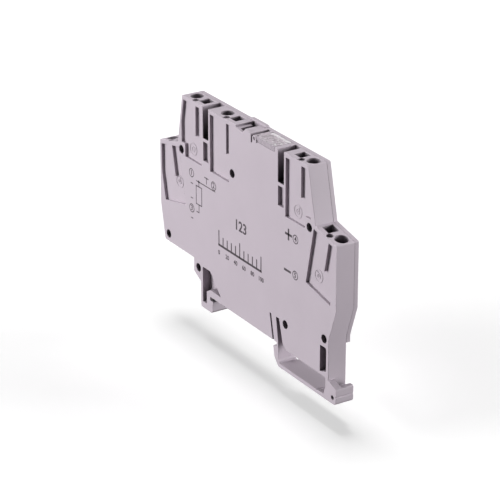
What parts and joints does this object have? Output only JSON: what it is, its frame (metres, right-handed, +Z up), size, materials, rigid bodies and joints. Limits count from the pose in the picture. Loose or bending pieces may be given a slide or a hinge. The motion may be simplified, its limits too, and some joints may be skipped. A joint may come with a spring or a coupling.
{
  "type": "temperature transmitter",
  "caption": "Slim rail-mounted temperature transmitter in a terminal block housing, with spring clamp terminals, a clear hinged lid and a release foot.",
  "frame": {"origin": "on the rail's seat, in the middle of the rail's width and of the housing's thickness", "axes": "+X along the housing towards the release foot, +Y across its thickness from the printed side to the cover, +Z up, away from the rail"},
  "size_m": [0.0916, 0.007, 0.0646],
  "materials": {
    "grey_plastic": "fine moulded texture",
    "clear_plastic": "clear gloss",
    "spring_steel": "rolled strip",
    "tinned_copper": "tinned",
    "board_laminate": "lacquered laminate",
    "ceramic": "matt",
    "can_metal": "plated",
    "ochre_resin": "moulded",
    "black_resin": "moulded"
  },
  "bodies": {
    "housing": {"ceramic_capacitors": "ceramic", "circuit_board": "board_laminate", "clamp_spring_1": "spring_steel", "clamp_spring_2": "spring_steel", "clamp_spring_3": "spring_steel", "clamp_spring_4": "spring_steel", "clamp_spring_5": "spring_steel", "contact_bar_1": "tinned_copper", "contact_bar_2": "tinned_copper", "contact_bar_3": "tinned_copper", "contact_bar_4": "tinned_copper", "contact_bar_5": "tinned_copper", "converter_chip": "black_resin", "crystal": "can_metal", "housing_body": "grey_plastic", "isolating_transformer": "black_resin", "isolator_chip": "black_resin", "loop_transistor": "black_resin", "microcontroller_chip": "black_resin", "programming_socket": "black_resin", "protection_diode": "black_resin", "resistors": "black_resin", "side_cover": "grey_plastic", "tantalum_capacitor": "ochre_resin"},
    "lid": {"clear_lid": "clear_plastic"}
  },
  "joints": [
    {"name": "lid_hinge", "type": "hinge", "parent": "housing", "child": "lid", "pos_m": [0.006, -0.00065, 0.05605], "axis": [0, -1, 0], "range_deg": [0, 95]}
  ]
}
